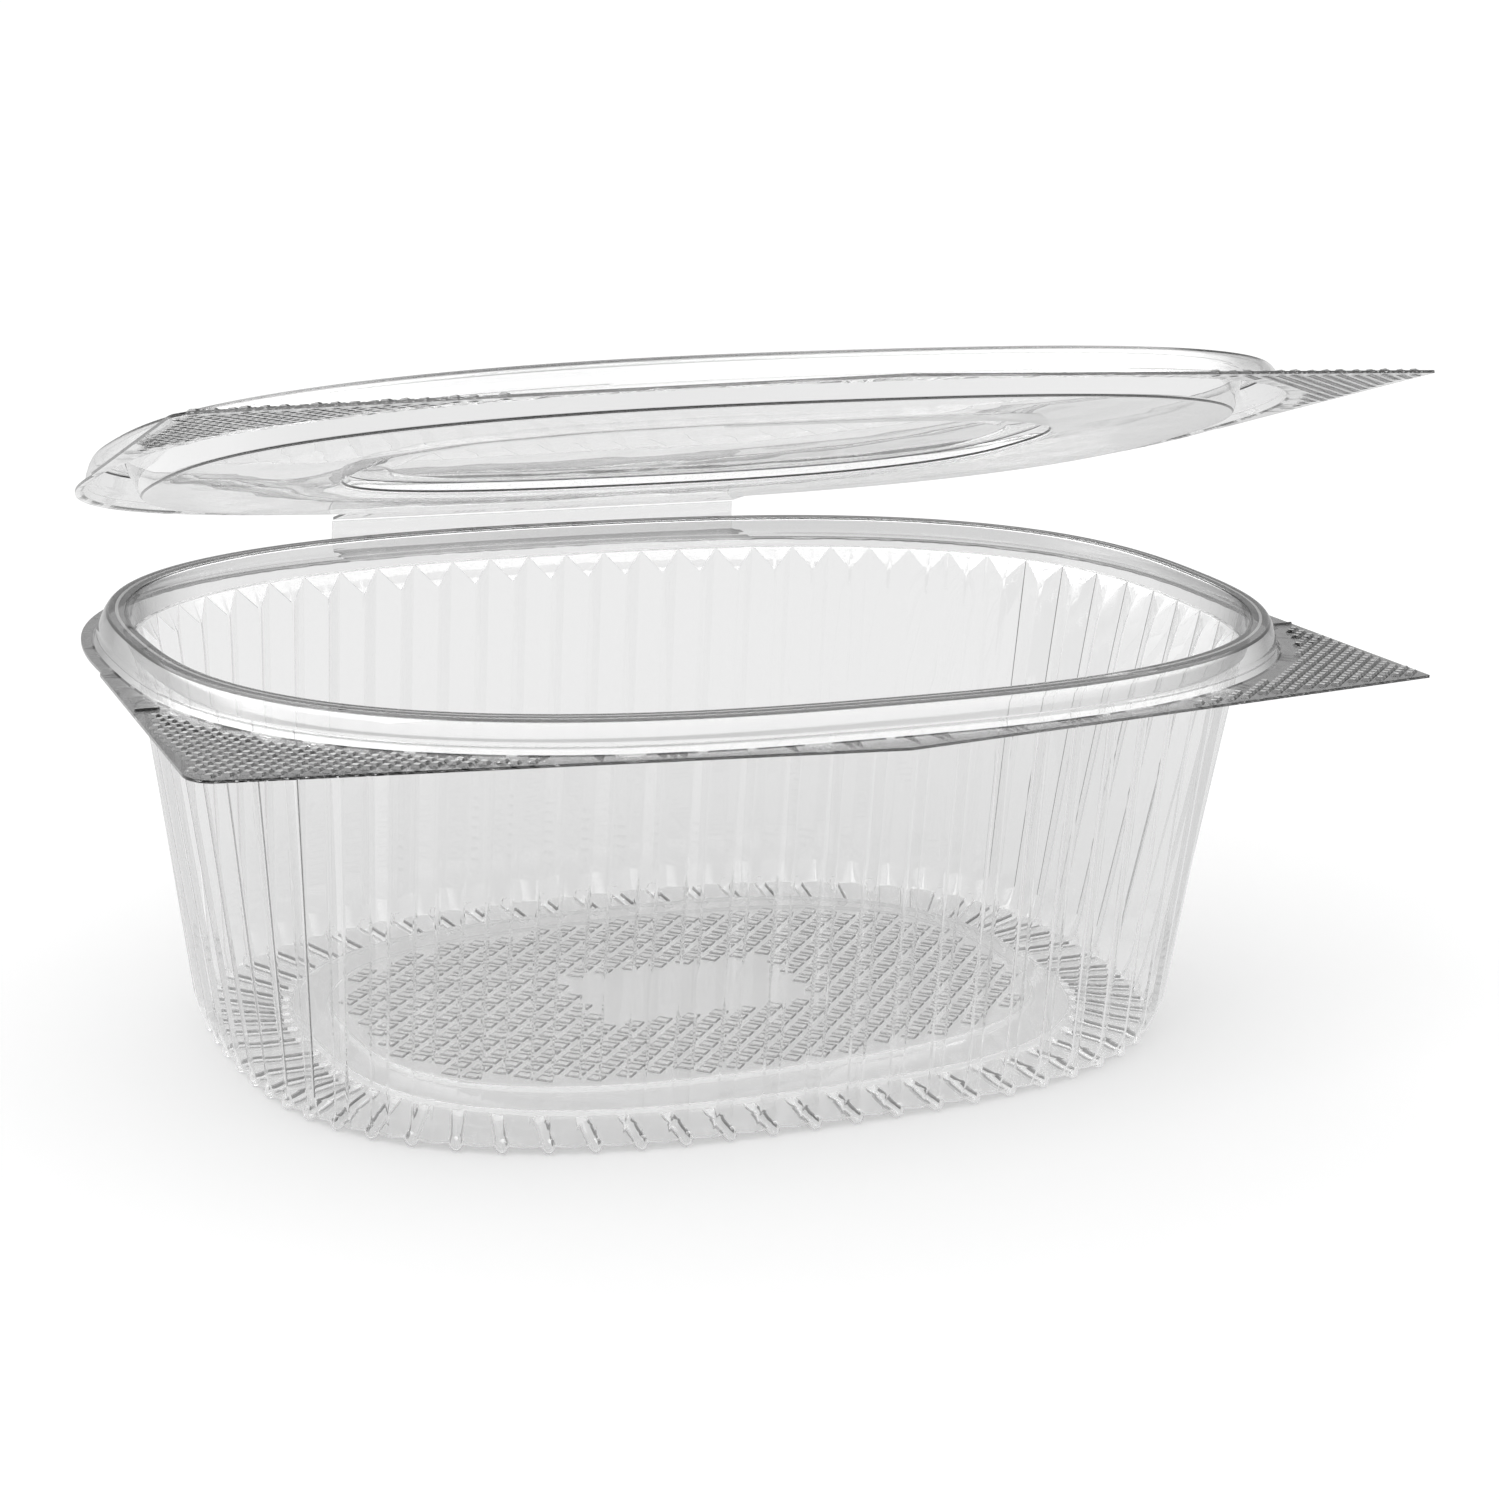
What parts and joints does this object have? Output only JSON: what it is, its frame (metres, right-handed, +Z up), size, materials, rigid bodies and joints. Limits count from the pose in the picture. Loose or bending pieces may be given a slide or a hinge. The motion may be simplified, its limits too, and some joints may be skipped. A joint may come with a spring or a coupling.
{
  "type": "hinged deli container",
  "caption": "Clear oval food tub with fluted walls, a hollow rim crown, corner tabs and a film-hinged lid that presses down over the rim.",
  "frame": {"origin": "middle of the whole container's footprint with the lid ajar, on the plane of its feet", "axes": "+X along the container, +Y towards the hinge, +Z up"},
  "size_m": [0.2036, 0.1372, 0.1187],
  "materials": {
    "clear_sheet": "clear thermoformed PET, glossy, knurled on the floor and the tabs"
  },
  "bodies": {
    "tub": {"tub": "clear_sheet"},
    "hinge_strip": {"hinge_strip": "clear_sheet"},
    "lid": {"lid": "clear_sheet"}
  },
  "joints": [
    {"name": "rim_press", "type": "slide", "parent": "tub", "child": "hinge_strip", "axis": [0, 0, 1], "range_m": [-0.00453, 0]},
    {"name": "lid_hinge", "type": "hinge", "parent": "hinge_strip", "child": "lid", "pos_m": [0, 0.06835, 0.06936], "axis": [-1, 0, 0], "range_deg": [-20, 160]}
  ]
}
